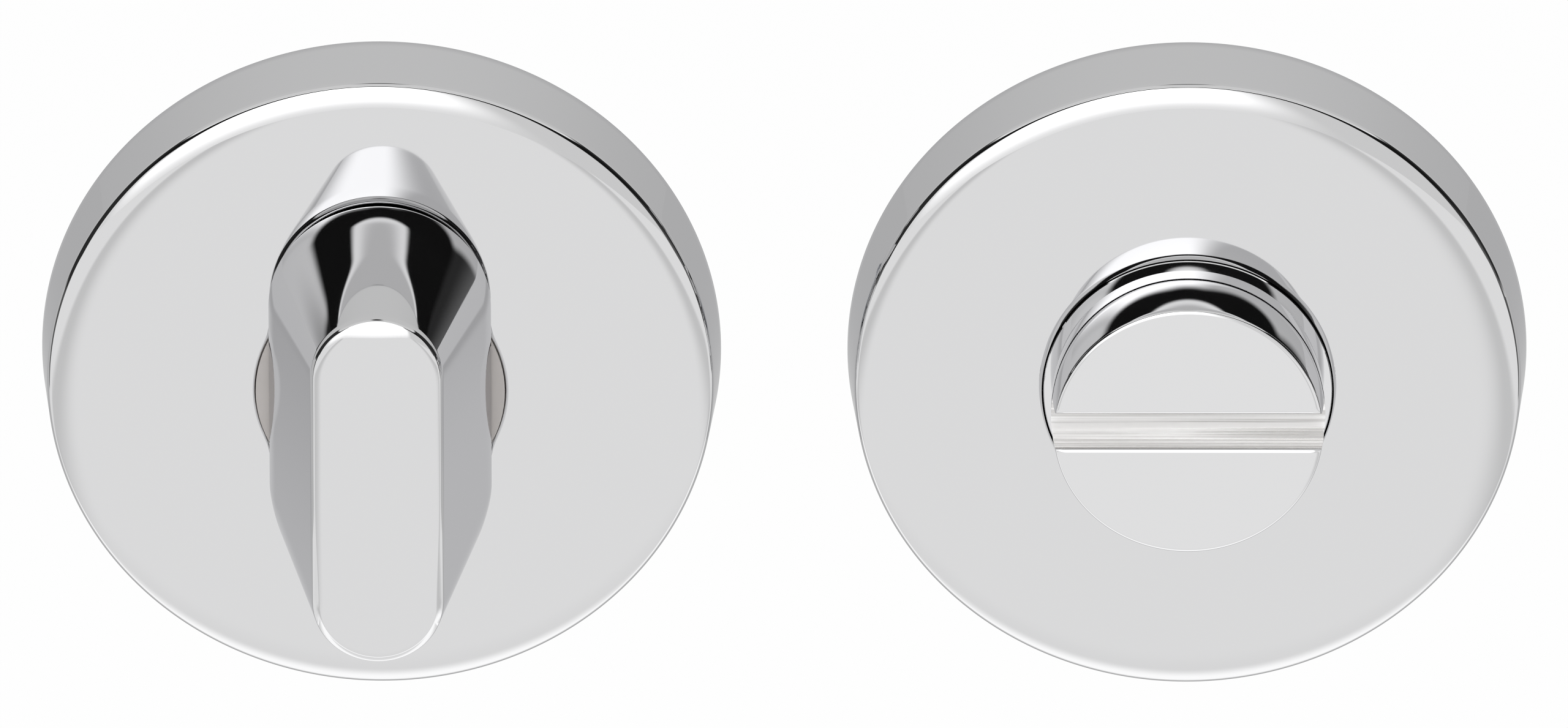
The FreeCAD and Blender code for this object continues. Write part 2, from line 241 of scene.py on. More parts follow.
right_flag = ramp_between(sky, sky_height, -12 * degree, 8 * degree, *right_flag_tones)
light = panel(light, right_flag, (38, 80), (below_table, 18), panel_edge)
for side_compass in ((-112, -74), (74, 112)):
    light = panel(light, flag_tone, side_compass, (-6, 40), panel_edge)
print("world nodes with panels:", len(sky.nodes))

# %% [markdown]
# The dark gap where the photographer stands has a sill that is highest in the middle and falls off to
# both sides. It gives the black shapes on the knob their slanted ends. A small dark patch straight
# overhead draws the thin line at the top of each rose. The camera sees plain white behind it all.

# %% Gap, overhead and background
gap_tone = 0.01
overhead_tone = 0.05
sill_top = 30 * degree
left_sill = 18.5 * degree
right_sill = 14 * degree
left_rise = ramp_between(sky, sky_compass, -36 * degree, -6 * degree, left_sill, sill_top)
right_fall = ramp_between(sky, sky_compass, 6 * degree, 36 * degree, sill_top, right_sill)
above_sill = math_node(sky, "SUBTRACT", sky_height, math_node(sky, "MINIMUM", left_rise, right_fall))
gap_share = math_node(
    sky, "MULTIPLY",
    ramp_between(sky, above_sill, -4 * degree, 1.5 * degree),
    math_node(sky, "MULTIPLY", band(sky_compass, -78, 80, 2), band(sky_height, 0, 38.5, 1.2)),
)
light = mix_numbers(sky, gap_share, light, gap_tone)
light = panel(light, overhead_tone, (-185, 185), (84, 95), panel_edge)
paths = sky.nodes.new("ShaderNodeLightPath")
seen = mix_numbers(sky, paths.outputs["Is Camera Ray"], light, 1.0)
background = sky.nodes.new("ShaderNodeBackground")
background.inputs["Color"].default_value = (1.0, 1.0, 1.0, 1.0)
sky.links.new(seen, background.inputs["Strength"])
sky_output = sky.nodes.new("ShaderNodeOutputWorld")
sky.links.new(background.outputs[0], sky_output.inputs[0])
print("world nodes:", len(sky.nodes))

# %% [markdown]
# ## Table
# The roses are shown well above a white table, so that their shadow is broad and faint. A large plane
# is enough for it. It isn't part of the lock.

# %% Table
table_drop = 0.12
table_front = 0.85
table_back = 1.2
table_half_width = 1.0


def make_object(name, mesh):
    """A new object in the scene for a mesh."""
    made = bpy.data.objects.new(name, mesh)
    bpy.context.scene.collection.objects.link(made)
    return made


table_mesh = bpy.data.meshes.new("table")
table_mesh.from_pydata(
    [
        (-table_half_width, -table_front, -table_drop),
        (table_half_width, -table_front, -table_drop),
        (table_half_width, table_back, -table_drop),
        (-table_half_width, table_back, -table_drop),
    ],
    [],
    [(0, 1, 2, 3)],
)
table = make_object("table", table_mesh)
print("table", table_drop, "m below the roses' axis")

# %% [markdown]
# The camera sees the table as plain white with a faint shadow. For mirrors its glow is painted light
# with tones: painted shade a little on either side and a touch nearer the roses, and a painted bright
# rim in front of the roses, which lights their lower margins. Right below them is painted grey shade,
# far out at the sides lie painted dark flags, and behind the object it turns to painted grey card. That
# keeps the walls of the roses from melting into the background. Each tone is a smooth step along X or Y.

# %% Table finish and its painted light
table_middle_x = 0.02
# Painted light in the glow that mirrors see: side shade, a bright rim, dark flags, shade below, grey
# card.
painted_side_shade = 0.74
painted_near_shade = 0.96
painted_rim_light = 1.4
far_white = 1.0
painted_dark_flags = 0.08
painted_shade_below = 0.6
painted_card_grey = 0.62
side_fade = (0.095, 0.165)
far_fade = (0.18, 0.21)
near_fade = (-0.15, -0.095)
rim_start = (-0.095, -0.062)
rim_end = (-0.048, -0.034)
rim_sides = (0.12, 0.17)
flag_fade = (0.27, 0.29)
flag_slant = -0.06
below_fade = (-0.015, -0.005)
card_fade = (0.02, 0.10)
glow_part = 0.95
table_white = bpy.data.materials.new("table_white")
table_white.use_nodes = True
table_tree = table_white.node_tree
table_tree.nodes.clear()
paint = table_tree.nodes.new("ShaderNodeBsdfDiffuse")
paint.inputs["Color"].default_value = (0.92, 0.92, 0.92, 1.0)
glow = table_tree.nodes.new("ShaderNodeEmission")
table_paths = table_tree.nodes.new("ShaderNodeLightPath")
table_place = table_tree.nodes.new("ShaderNodeSeparateXYZ")
table_spot = table_tree.nodes.new("ShaderNodeTexCoord").outputs["Object"]
table_tree.links.new(table_spot, table_place.inputs[0])
table_y = table_place.outputs["Y"]
from_middle = math_node(table_tree, "SUBTRACT", table_place.outputs["X"], table_middle_x)
aside = math_node(table_tree, "ABSOLUTE", from_middle)
# Each step below paints shade or light into the glow that mirrors see.
side_shade = ramp_between(table_tree, aside, *side_fade, 1.0, painted_side_shade)
side_shade = ramp_between(table_tree, aside, *far_fade, side_shade, far_white)
near_shade = ramp_between(table_tree, table_y, *near_fade, 1.0, painted_near_shade)
painted_table_light = math_node(table_tree, "MULTIPLY", side_shade, near_shade)
rim_light = ramp_between(table_tree, aside, *rim_sides, painted_rim_light, far_white)
painted_table_light = ramp_between(table_tree, table_y, *rim_start, painted_table_light, rim_light)
painted_table_light = ramp_between(table_tree, table_y, *rim_end, painted_table_light, far_white)
in_front = math_node(table_tree, "MULTIPLY_ADD", table_y, -1.0, flag_slant)
flag_reach = math_node(table_tree, "SUBTRACT", aside, math_node(table_tree, "MAXIMUM", in_front, 0.0))
painted_table_light = ramp_between(table_tree, flag_reach, *flag_fade, painted_table_light, painted_dark_flags)
painted_table_light = ramp_between(table_tree, table_y, *below_fade, painted_table_light, painted_shade_below)
painted_table_light = ramp_between(table_tree, table_y, *card_fade, painted_table_light, painted_card_grey)
table_seen = mix_numbers(table_tree, table_paths.outputs["Is Camera Ray"], painted_table_light, 1.0)
table_tree.links.new(table_seen, glow.inputs["Strength"])
mirror_or_camera = math_node(
    table_tree, "MAXIMUM", table_paths.outputs["Is Camera Ray"], table_paths.outputs["Is Glossy Ray"]
)
glow_share = math_node(table_tree, "MULTIPLY", mirror_or_camera, glow_part)
table_mix = table_tree.nodes.new("ShaderNodeMixShader")
table_tree.links.new(glow_share, table_mix.inputs[0])
table_tree.links.new(paint.outputs[0], table_mix.inputs[1])
table_tree.links.new(glow.outputs[0], table_mix.inputs[2])
table_output = table_tree.nodes.new("ShaderNodeOutputMaterial")
table_tree.links.new(table_mix.outputs[0], table_output.inputs[0])
table_mesh.materials.append(table_white)
print("table finish nodes:", len(table_tree.nodes))

# %% [markdown]
# One broad softbox overhead gives the matt pieces their light and the table its shadow. It is hidden
# from mirrors, because the chrome takes its reflections from the painted world.

# %% Overhead light
lamp_data = bpy.data.lights.new("overhead_softbox", "AREA")
lamp_data.shape = "RECTANGLE"
lamp_data.size = 0.9
lamp_data.size_y = 0.7
lamp_data.energy = 6.0
lamp = bpy.data.objects.new("overhead_softbox", lamp_data)
bpy.context.scene.collection.objects.link(lamp)
lamp.location = (0.03, -0.25, 1.1)
lamp.rotation_euler = (math.radians(-12), 0.0, 0.0)
lamp.visible_glossy = False
lamp.visible_camera = False
print("softbox", lamp_data.size, "m wide")

# %% [markdown]
# ## Finishes
# Eight materials cover every piece. Each starts from the same shader and gets its own texture at its
# own scale: noise for haze, stretched noise for milling and rolling marks, and a height texture where
# the surface is not quite smooth. Numbers that are the same all over go straight on the shader.

# %% Material helpers
noise_roughness = 0.55


def start_material(name, metallic, roughness):
    """A new material with its tree and its main shader.

    A texture takes over the roughness later. The plain number serves viewers that read no textures.
    """
    material = bpy.data.materials.new(name)
    material.use_nodes = True
    tree = material.node_tree
    shader = tree.nodes["Principled BSDF"]
    shader.inputs["Metallic"].default_value = metallic
    shader.inputs["Roughness"].default_value = roughness
    return material, tree, shader


def piece_point(tree, scale=(1.0, 1.0, 1.0)):
    """The point on the piece, in scene metres, stretched along the axes."""
    coordinates = tree.nodes.new("ShaderNodeTexCoord")
    mapping = tree.nodes.new("ShaderNodeMapping")
    mapping.inputs["Scale"].default_value = scale
    tree.links.new(coordinates.outputs["Object"], mapping.inputs["Vector"])
    return mapping.outputs["Vector"]


def noise(tree, point, scale, detail=3.0):
    """Noise between 0 and 1."""
    node = tree.nodes.new("ShaderNodeTexNoise")
    tree.links.new(point, node.inputs["Vector"])
    node.inputs["Scale"].default_value = scale
    node.inputs["Detail"].default_value = detail
    node.inputs["Roughness"].default_value = noise_roughness
    return node.outputs["Fac"]


def mix_colours(tree, share, first, second):
    """First colour where share is 0, second where it is 1. Inputs 6 and 7 are the node's colours."""
    node = tree.nodes.new("ShaderNodeMix")
    node.data_type = "RGBA"
    tree.links.new(share, node.inputs["Factor"])
    node.inputs[6].default_value = (*first, 1.0)
    node.inputs[7].default_value = (*second, 1.0)
    return node.outputs[2]


def add_bump(tree, shader, height, strength, distance):
    """Let a height texture tilt the surface a little."""
    node = tree.nodes.new("ShaderNodeBump")
    node.inputs["Strength"].default_value = strength
    node.inputs["Distance"].default_value = distance
    tree.links.new(height, node.inputs["Height"])
    tree.links.new(node.outputs["Normal"], shader.inputs["Normal"])


print("noise roughness", noise_roughness, "in every finish")

# %% [markdown]
# ### Chrome
# Chrome plate is a mirror with a faint haze left by polishing cloths. Unlike most metals it hardly
# brightens where it is seen edge-on, which the shader's specular tint sets. The plug comes out of
# another plating bath and is a little brighter. Its coin slot is milled before plating, so the slot's
# floor and walls keep fine lines along the cutter's path: the same metal, with a stretched noise in
# its tone and its roughness. A height texture would also work, but speckles when seen from far off.

# %% Chrome
chrome_colour = (0.70, 0.70, 0.705, 1.0)
plug_colour = (0.74, 0.74, 0.745, 1.0)
chrome_edge = (0.80, 0.80, 0.81, 1.0)


def polished_chrome(name, colour):
    """Mirror plate with a slight haze."""
    material, tree, shader = start_material(name, 1.0, 0.03)
    shader.inputs["Base Color"].default_value = colour
    shader.inputs["Specular Tint"].default_value = chrome_edge
    haze = noise(tree, piece_point(tree), 160.0)
    tree.links.new(ramp_between(tree, haze, 0.3, 0.8, 0.02, 0.05), shader.inputs["Roughness"])
    return material


def milled_chrome():
    """Plated over the lines of a milling cutter that ran along X."""
    material, tree, shader = start_material("milled_chrome", 1.0, 0.30)
    broad = noise(tree, piece_point(tree, (25.0, 2600.0, 2600.0)), 1.0, 2.0)
    fine = noise(tree, piece_point(tree, (40.0, 4600.0, 4600.0)), 1.0, 2.0)
    streaks = ramp_between(tree, math_node(tree, "ADD", broad, fine), 0.82, 1.15)
    tone = mix_colours(tree, streaks, (0.66, 0.65, 0.64), (1.0, 0.995, 0.99))
    tree.links.new(tone, shader.inputs["Base Color"])
    tree.links.new(ramp_between(tree, broad, 0.3, 0.7, 0.22, 0.40), shader.inputs["Roughness"])
    return material


chrome = polished_chrome("polished_chrome", chrome_colour)
plug_chrome = polished_chrome("plug_chrome", plug_colour)
slot_chrome = milled_chrome()
print("chrome:", chrome.name, plug_chrome.name, slot_chrome.name)

# %% [markdown]
# ### Nylon
# The fixing plates and the bearing bushes are moulded nylon. A mould is spark-eroded, which leaves a
# fine even grain, and thick places sink a little. Two noises give the grain and faint clouds in the
# colour. They are laid out in space and not on a surface, so no piece has to be unwrapped for them.

# %% Nylon


def moulded_nylon(name, light_colour, dark_colour, roughness, grain_strength):
    """Moulded plastic with an eroded grain and faint flow clouds."""
    material, tree, shader = start_material(name, 0.0, roughness)
    point = piece_point(tree)
    clouds = noise(tree, point, 220.0)
    grain = noise(tree, point, 5200.0, 2.0)
    tree.links.new(mix_colours(tree, clouds, dark_colour, light_colour), shader.inputs["Base Color"])
    grain_gloss = ramp_between(tree, grain, 0.3, 0.7, roughness - 0.06, roughness + 0.08)
    tree.links.new(grain_gloss, shader.inputs["Roughness"])
    shader.inputs["Specular IOR Level"].default_value = 0.42
    add_bump(tree, shader, grain, grain_strength, 0.00003)
    return material


plate_nylon = moulded_nylon("plate_nylon", (0.030, 0.030, 0.032), (0.018, 0.018, 0.019), 0.48, 0.30)
# The bush's colours are painted lighter than its nylon, to make up for the shade of the knob beside it.
bush_nylon = moulded_nylon("bush_nylon", (0.64, 0.605, 0.585), (0.57, 0.54, 0.52), 0.36, 0.12)
print("nylon:", plate_nylon.name, bush_nylon.name)

# %% [markdown]
# ### Brass, zinc and spring steel
# The thrust washers are stamped from rolled brass strip, so they carry straight rolling lines and a
# touch of tarnish. Bolts, screws, posts and the spindle are bright zinc, faintly blue and cloudy. The
# spring washers, circlips and the cross pin are dark phosphated spring steel with a dry, mottled look.
# Each gets one noise for its tone and one for its gloss, since real wear rarely changes both at once.

# %% Brass, zinc and spring steel


def stamped_brass():
    """Rolled strip with straight lines and a little tarnish."""
    material, tree, shader = start_material("washer_brass", 1.0, 0.28)
    lines = noise(tree, piece_point(tree, (90.0, 900.0, 5200.0)), 1.0, 3.0)
    tarnish = noise(tree, piece_point(tree), 480.0)
    age = ramp_between(tree, tarnish, 0.35, 0.75)
    tone = mix_colours(tree, age, (0.80, 0.60, 0.29), (0.60, 0.43, 0.20))
    tree.links.new(tone, shader.inputs["Base Color"])
    tree.links.new(ramp_between(tree, lines, 0.25, 0.75, 0.20, 0.40), shader.inputs["Roughness"])
    add_bump(tree, shader, lines, 0.18, 0.00002)
    return material


def bright_zinc():
    """Electroplated zinc with a clear blue passivation."""
    material, tree, shader = start_material("zinc_steel", 1.0, 0.26)
    point = piece_point(tree)
    clouds = ramp_between(tree, noise(tree, point, 700.0), 0.35, 0.70)
    tone = mix_colours(tree, clouds, (0.62, 0.64, 0.67), (0.52, 0.53, 0.56))
    tree.links.new(tone, shader.inputs["Base Color"])
    grain = noise(tree, point, 6500.0, 2.0)
    tree.links.new(ramp_between(tree, grain, 0.25, 0.75, 0.20, 0.36), shader.inputs["Roughness"])
    add_bump(tree, shader, grain, 0.10, 0.00002)
    return material


def phosphated_steel():
    """Dark spring steel with dry crystals of phosphate."""
    material, tree, shader = start_material("spring_steel", 0.85, 0.45)
    point = piece_point(tree)
    crystals = noise(tree, point, 4200.0, 3.0)
    mottle = ramp_between(tree, noise(tree, point, 900.0), 0.35, 0.70)
    tone = mix_colours(tree, mottle, (0.10, 0.10, 0.105), (0.17, 0.165, 0.16))
    tree.links.new(tone, shader.inputs["Base Color"])
    tree.links.new(ramp_between(tree, crystals, 0.25, 0.75, 0.36, 0.56), shader.inputs["Roughness"])
    add_bump(tree, shader, crystals, 0.22, 0.00002)
    return material


washer_brass = stamped_brass()
zinc_steel = bright_zinc()
spring_steel = phosphated_steel()
print("metals:", washer_brass.name, zinc_steel.name, spring_steel.name)

# %% [markdown]
# ## Drawing turned and lofted pieces
# A turned piece is a list of rings, a lofted one a list of outlines. Both are skinned the same way:
# neighbouring loops with the same number of points are joined by quads. All loops use the same angles
# about the axis, and 45 degrees is one of them, so a ring can run into a stadium or into a square
# socket without a twist.

# %% Loops and skins
around = 288
ring_angles = [math.tau * step / around for step in range(around)]


def ring_loop(radius, out, angles=ring_angles):
    """A circle about the piece's axis."""
    return [(radius * math.cos(angle), radius * math.sin(angle), out) for angle in angles]


def square_loop(side, out, angles=ring_angles):
    """A square about the piece's axis."""
    points = []
    for angle in angles:
        reach = side / 2 / max(abs(math.cos(angle)), abs(math.sin(angle)))
        points.append((reach * math.cos(angle), reach * math.sin(angle), out))
    return points


def stadium_loop(length, width, out, angles=ring_angles):
    """An upright stadium about the piece's axis: straight sides, half-round ends."""
    radius = width / 2
    straight = (length - width) / 2
    points = []
    for angle in angles:
        side = abs(math.cos(angle))
        rise = abs(math.sin(angle))
        if radius * rise <= straight * side:
            reach = radius / side
        else:
            reach = straight * rise + math.sqrt(radius ** 2 - (straight * side) ** 2)
        points.append((reach * math.cos(angle), reach * math.sin(angle), out))
    return points


print("points in a loop:", around)

# %% [markdown]
# Each loop becomes a row of vertices. Rows are bridged by quads, the mesh is shaded smooth up to a
# sharp angle, and weighted normals keep broad faces flat beside narrow roundings. A piece then stands
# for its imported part, which stays in the simulation.

# %% Skins and finished pieces
crisp_from_deg = 32.0


def row_of(builder, loop, axis_x):
    """A loop's points as vertices."""
    return [builder.verts.new(stand_on_door(point, axis_x)) for point in loop]


def bridge(builder, lower, upper):
    """Join two rows of vertices by quads."""
    faces = []
    for step in range(len(lower)):
        ahead = (step + 1) % len(lower)
        faces.append(builder.faces.new((lower[step], lower[ahead], upper[ahead], upper[step])))
    return faces


def skin(builder, loops, axis_x, closed=False):
    """Join neighbouring loops by quads and give back the loops' vertices."""
    rows = [row_of(builder, loop, axis_x) for loop in loops]
    for lower, upper in zip(rows, rows[1:]):
        bridge(builder, lower, upper)
    if closed:
        bridge(builder, rows[-1], rows[0])
    return rows


def finish_piece(name, builder, materials):
    """Turn a drawn mesh into a shaded object."""
    bmesh.ops.recalc_face_normals(builder, faces=builder.faces)
    mesh = bpy.data.meshes.new(name)
    builder.to_mesh(mesh)
    builder.free()
    for material in materials:
        mesh.materials.append(material)
    mesh.shade_smooth()
    mesh.set_sharp_from_angle(angle=math.radians(crisp_from_deg))
    piece = make_object(name, mesh)
    weights = piece.modifiers.new("weighted_normals", "WEIGHTED_NORMAL")
    weights.keep_sharp = True
    print(f"{name}: {len(mesh.polygons)} faces")
    return piece


def settle(piece, node, body):
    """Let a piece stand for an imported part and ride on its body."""
    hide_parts(node)
    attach(piece, body)


print("edges stay crisp from", crisp_from_deg, "degrees")

# %% [markdown]
# ## Rose covers
# A rose cover is pressed, then polished. Its wall leans in a little, its front edge is a clear line,
# and the face inside that line is gently crowned. The section is drawn once and turned for both
# halves; only the hole in the middle differs. First come its sizes and the crowned face.

# %% Crowned face of the roses
rose_crown_r = 340.0
rose_crease_r = 24.5
rose_margin = 4.0
rose_margin_deg = 18.5
rose_margin_growth = 2.4
rose_wall_deg = 86.0
rose_edge_r = 0.5
rose_bore_r = 23.0
rose_lead_in = 0.4
rose_hub_r = 12.5
rose_hub_out = 5.72
rose_inner_out = 4.83
snap_groove_out = 3.6
snap_groove_half = 0.51
snap_groove_r = 23.45
turn_hole_r = 9.2
release_hole_r = 10.7
rose_apex = front_of("turn_rose_cover") + rose_crown_r - math.sqrt(rose_crown_r ** 2 - turn_hole_r ** 2)


def crown_out(radius):
    """Height of the crowned face at a distance from the axis."""
    return rose_apex - rose_crown_r + math.sqrt(rose_crown_r ** 2 - radius ** 2)


def margin_points():
    """The margin from the crown to the edge: it tips over slowly at first, then faster."""
    start_r = rose_crease_r - rose_margin
    start_deg = math.degrees(math.asin(start_r / rose_crown_r))
    tip = math.radians(rose_margin_deg)
    edge_run = rose_edge_r * (math.sin(math.radians(rose_wall_deg)) - math.sin(tip))
    run = rose_margin - edge_run
    steps = 48
    out = crown_out(start_r)
    points = [(start_r, out)]
    for step in range(1, steps + 1):
        middle = (step - 0.5) / steps
        tilt = start_deg + (rose_margin_deg - start_deg) * middle ** rose_margin_growth
        out -= run / steps * math.tan(math.radians(tilt))
        points.append((start_r + run * step / steps, out))
    return points


print(f"rose apex {rose_apex:.2f} mm from the door")

# %% [markdown]
# The section runs over the crown and its margin, round the fine front edge, down the wall and back
# inside, past the groove that snaps on to the fixing plate. Spinning a profile with a modifier would
# also work, but shared loops keep every piece on the same angles.

# %% Rose covers
hole_lip = 0.12
lip_round = 0.3 * hole_lip
back_round = 0.15
back_shoulder = (0.05, 0.04)


def rose_profile(hole_r):
    """The cover's section as a closed list of (radius, out) points."""
    margin_r = rose_crease_r - rose_margin
    lip_r = hole_r + hole_lip
    crown_steps = 24
    points = []
    for step in range(crown_steps):
        radius = lip_r + (margin_r - lip_r) * step / crown_steps
        points.append((radius, crown_out(radius)))
    points += margin_points()
    tip = math.radians(rose_margin_deg)
    edge_steps = 16
    crease_r, crease_out = points[-1]
    for step in range(1, edge_steps + 1):
        tilt = tip + (math.radians(rose_wall_deg) - tip) * step / edge_steps
        points.append((
            crease_r + rose_edge_r * (math.sin(tilt) - math.sin(tip)),
            crease_out - rose_edge_r * (math.cos(tip) - math.cos(tilt)),
        ))
    wall_r, wall_out = points[-1]
    wall_steps = 8
    for step in range(1, wall_steps + 1):
        share = step / wall_steps
        radius = wall_r + (rose_back_r - wall_r) * share
        points.append((radius, wall_out + (back_round - wall_out) * share))
    points += [(rose_back_r - back_shoulder[0], back_shoulder[1]), (rose_back_r - back_round, 0.0)]
    points += [(rose_bore_r + rose_lead_in, 0.0), (rose_bore_r, rose_lead_in)]
    points += [(rose_bore_r, snap_groove_out - snap_groove_half), (snap_groove_r, snap_groove_out)]
    points += [(rose_bore_r, snap_groove_out + snap_groove_half), (rose_bore_r, rose_inner_out)]
    points += [(rose_hub_r, rose_hub_out), (hole_r, rose_hub_out)]
    lip_out = crown_out(hole_r)
    points += [(hole_r, lip_out - hole_lip), (hole_r + lip_round, lip_out - lip_round)]
    return points


def rose_cover(name, hole_r, axis_x):
    """A hollow chrome cover."""
    builder = bmesh.new()
    skin(builder, [ring_loop(radius, out) for radius, out in rose_profile(hole_r)], axis_x, closed=True)
    return finish_piece(name, builder, [chrome])


turn_cover = rose_cover("turn_rose_cover_polished", turn_hole_r, turn_axis_x)
release_cover = rose_cover("release_rose_cover_polished", release_hole_r, release_axis_x)
settle(turn_cover, "turn_rose_cover", "base")
settle(release_cover, "release_rose_cover", "base")

# %% [markdown]
# ## Thumb turn
# The knob is a zinc casting: a blade with half-round ends that tapers towards its front, is rounded
# over just above the rose, and runs into a round boss and neck behind it. One stack of loops makes it
# all, from the front face back into the square socket for the spindle, so its surface has no seam. A
# bevelled box could be scaled to shape by hand, but its taper would be hard to keep exact.

# %% Knob sizes
knob_base_length = 31.1
knob_base_width = 16.8
knob_front_length = 27.8
knob_front_width = 9.4
knob_base_round = 0.5
knob_margin = 0.9
knob_margin_deg = 20.0
bevel_slim = 0.14
bevel_broad = 0.42
bevel_growth = 11.0
bevel_drop = 0.2
bevel_fine = 0.04
lower_calm = 0.25
facet_height = 1.35
facet_deg = 11.5
facet_soft = 0.04
facet_inset = 2.4
knob_tuck = 0.14
knob_tuck_height = 2.6
knob_lift = 0.15
knob_boss_r = 7.4
boss_gap = 0.05
neck_r = 6.0
neck_chamfer = 0.2
groove_r = 5.75
groove_low = 0.875
groove_high = 1.925
socket_side = 5.1
knob_socket_out = 17.1
knob_front_out = front_of("turn_knob")
knob_base_out = front_of("turn_bush") + knob_lift
boss_back_out = front_of("turn_bush") + boss_gap
neck_end_out = back_of("turn_knob")
print(f"knob {knob_front_out - knob_base_out:.2f} mm tall above its base")

# %% [markdown]
# The knob's face was ground by hand. Near its upper end it has a shallow facet that catches the window.
# All round, the margin tips over and a narrow bevel follows, which gets broader towards the lower end.
# A bevel modifier would give the same width everywhere, so here each point of a loop gets its own drop.

# %% The knob's face


def knob_section(out, inset=0.0):
    """Outline of the tapered blade at one height, drawn in by an edge."""
    share = (out - knob_base_out) / (knob_front_out - knob_base_out)
    length = knob_base_length + share * (knob_front_length - knob_base_length)
    width = knob_base_width + share * (knob_front_width - knob_base_width)
    return stadium_loop(length - 2 * inset, width - 2 * inset, out)


def facet_drop(up):
    """How far the facet ground on the face's upper end lies behind the flat of the face."""
    below_top = knob_front_length / 2 - bevel_slim - up
    reach = (facet_height - below_top) * math.tan(math.radians(facet_deg))
    flat_share = 0.05
    return (reach + math.hypot(reach, facet_soft)) / 2 - flat_share * facet_soft


def bevel_loop(margin_drop, bevel_drop_so_far, inset, bevel_share, calm):
    """Outline near the front edge, behind the face by what the margin and the hand-ground bevel take."""
    out = knob_front_out - margin_drop - bevel_drop_so_far
    slim = knob_section(out, inset + bevel_share * bevel_slim)
    broad = knob_section(out, inset + bevel_share * bevel_broad)
    points = []
    for slim_point, broad_point in zip(slim, broad):
        along = min(max(-slim_point[1] / bevel_growth, 0.0), 1.0)
        share = along * along * (3 - 2 * along)
        across, up, level = [a + (b - a) * share for a, b in zip(slim_point, broad_point)]
        dubbed = max(margin_drop * (1 - calm * share), facet_drop(up))
        points.append((across, up, level + margin_drop - dubbed))
    return points


def front_loops():
    """The face's upper facet, its dubbed margin and the bevel, broader towards the blade's lower end."""
    facet_steps = 24
    margin_steps = 12
    tip = math.radians(knob_margin_deg)
    margin_r = knob_margin / math.sin(tip)
    loops = []
    for step in range(facet_steps):
        inset = facet_inset + (knob_margin - facet_inset) * step / facet_steps
        loops.append(bevel_loop(0.0, 0.0, inset, 1.0, lower_calm))
    for step in range(margin_steps + 1):
        tilt = tip * step / margin_steps
        inset = knob_margin - margin_r * math.sin(tilt)
        loops.append(bevel_loop(margin_r * (1 - math.cos(tilt)), 0.0, inset, 1.0, lower_calm))
    drop = margin_r * (1 - math.cos(tip))
    loops.append(bevel_loop(drop, bevel_fine, -bevel_fine, 1.0, lower_calm))
    loops.append(bevel_loop(drop, bevel_drop - bevel_fine, bevel_fine, 0.0, 0.0))
    loops.append(bevel_loop(drop, bevel_drop + bevel_fine, 0.0, 0.0, 0.0))
    return loops, drop + bevel_drop + bevel_fine


print(f"facet ground {facet_height} mm high at {facet_deg} degrees")

# %% [markdown]
# Behind the face the blade only gets wider, down to a slight tuck and a rounded base that stand just
# clear of the bearing ring. The boss, the neck with its circlip groove and the spindle's socket follow.

# %% Blade, neck and knob


def blade_loops():
    """The blade from its front face to its base, where it tucks in a little and is rounded over."""
    loops, front_drop = front_loops()
    flank_top = knob_front_out - front_drop
    tuck_low = knob_base_out + knob_base_round
    tuck_top = tuck_low + knob_tuck_height
    flank_steps = 28
    for step in range(1, flank_steps + 1):
        loops.append(knob_section(flank_top + (tuck_top - flank_top) * step / flank_steps))
    tuck_steps = 12
    for step in range(1, tuck_steps + 1):
        share = step / tuck_steps
        loops.append(knob_section(tuck_top - knob_tuck_height * share, knob_tuck * share ** 2))
    round_steps = 8
    for step in range(1, round_steps + 1):
        turn = math.pi / 2 * step / round_steps
        level = tuck_low - knob_base_round * math.sin(turn)
        loops.append(knob_section(level, knob_tuck + knob_base_round * (1 - math.cos(turn))))
    return loops


def neck_loops(angles=ring_angles):
    """A neck with its circlip groove, from the neck's root to its end."""
    ends = [(neck_r, groove_high), (groove_r, groove_high), (groove_r, groove_low), (neck_r, groove_low)]
    ends += [(neck_r, neck_end_out + neck_chamfer), (neck_r - neck_chamfer, neck_end_out)]
    return [ring_loop(radius, out, angles) for radius, out in ends]


def turn_knob():
    """The whole knob in one skin."""
    builder = bmesh.new()
    loops = blade_loops()
    loops += [ring_loop(knob_boss_r, knob_base_out), ring_loop(knob_boss_r, boss_back_out)]
    loops += [ring_loop(neck_r, boss_back_out)] + neck_loops()
    loops += [square_loop(socket_side, neck_end_out), square_loop(socket_side, knob_socket_out)]
    rows = skin(builder, loops, turn_axis_x)
    builder.faces.new(rows[0])
    builder.faces.new(rows[-1])
    return finish_piece("turn_knob_polished", builder, [chrome])


settle(turn_knob(), "turn_knob", "turn")

# %% [markdown]
# ## Release plug
# The plug is a short drum with a slot milled right across it, so that a coin can turn it from
# outside. Below the slot it is a stack of rings. Above it there are two D-shaped halves, each with its
# own softened rim. Rings and halves share their points at the level of the slot's floor.

# %% Plug sizes
plug_mid_r = 10.07
plug_barrel = 0.22
plug_margin = 0.42
plug_margin_deg = 22.0
plug_edge_r = 0.16
plug_wall_deg = 86.0
plug_flange_r = 10.6
plug_flange_thick = 1.3
flange_chamfer = 0.06
slot_width = 2.85
slot_depth = 2.7
plug_socket_out = 10.0
plug_front_out = front_of("release_plug")
flange_top_out = crown_out(release_hole_r)
slot_floor_out = plug_front_out - slot_depth


def plug_r(out):
    """Radius of the drum's slightly barrelled side."""
    middle = (flange_top_out + plug_front_out) / 2
    half = (plug_front_out - flange_top_out) / 2
    return plug_mid_r - plug_barrel * ((out - middle) / half) ** 2


print(f"plug {plug_front_out - flange_top_out:.2f} mm tall, slot floor at {slot_floor_out:.2f} mm")

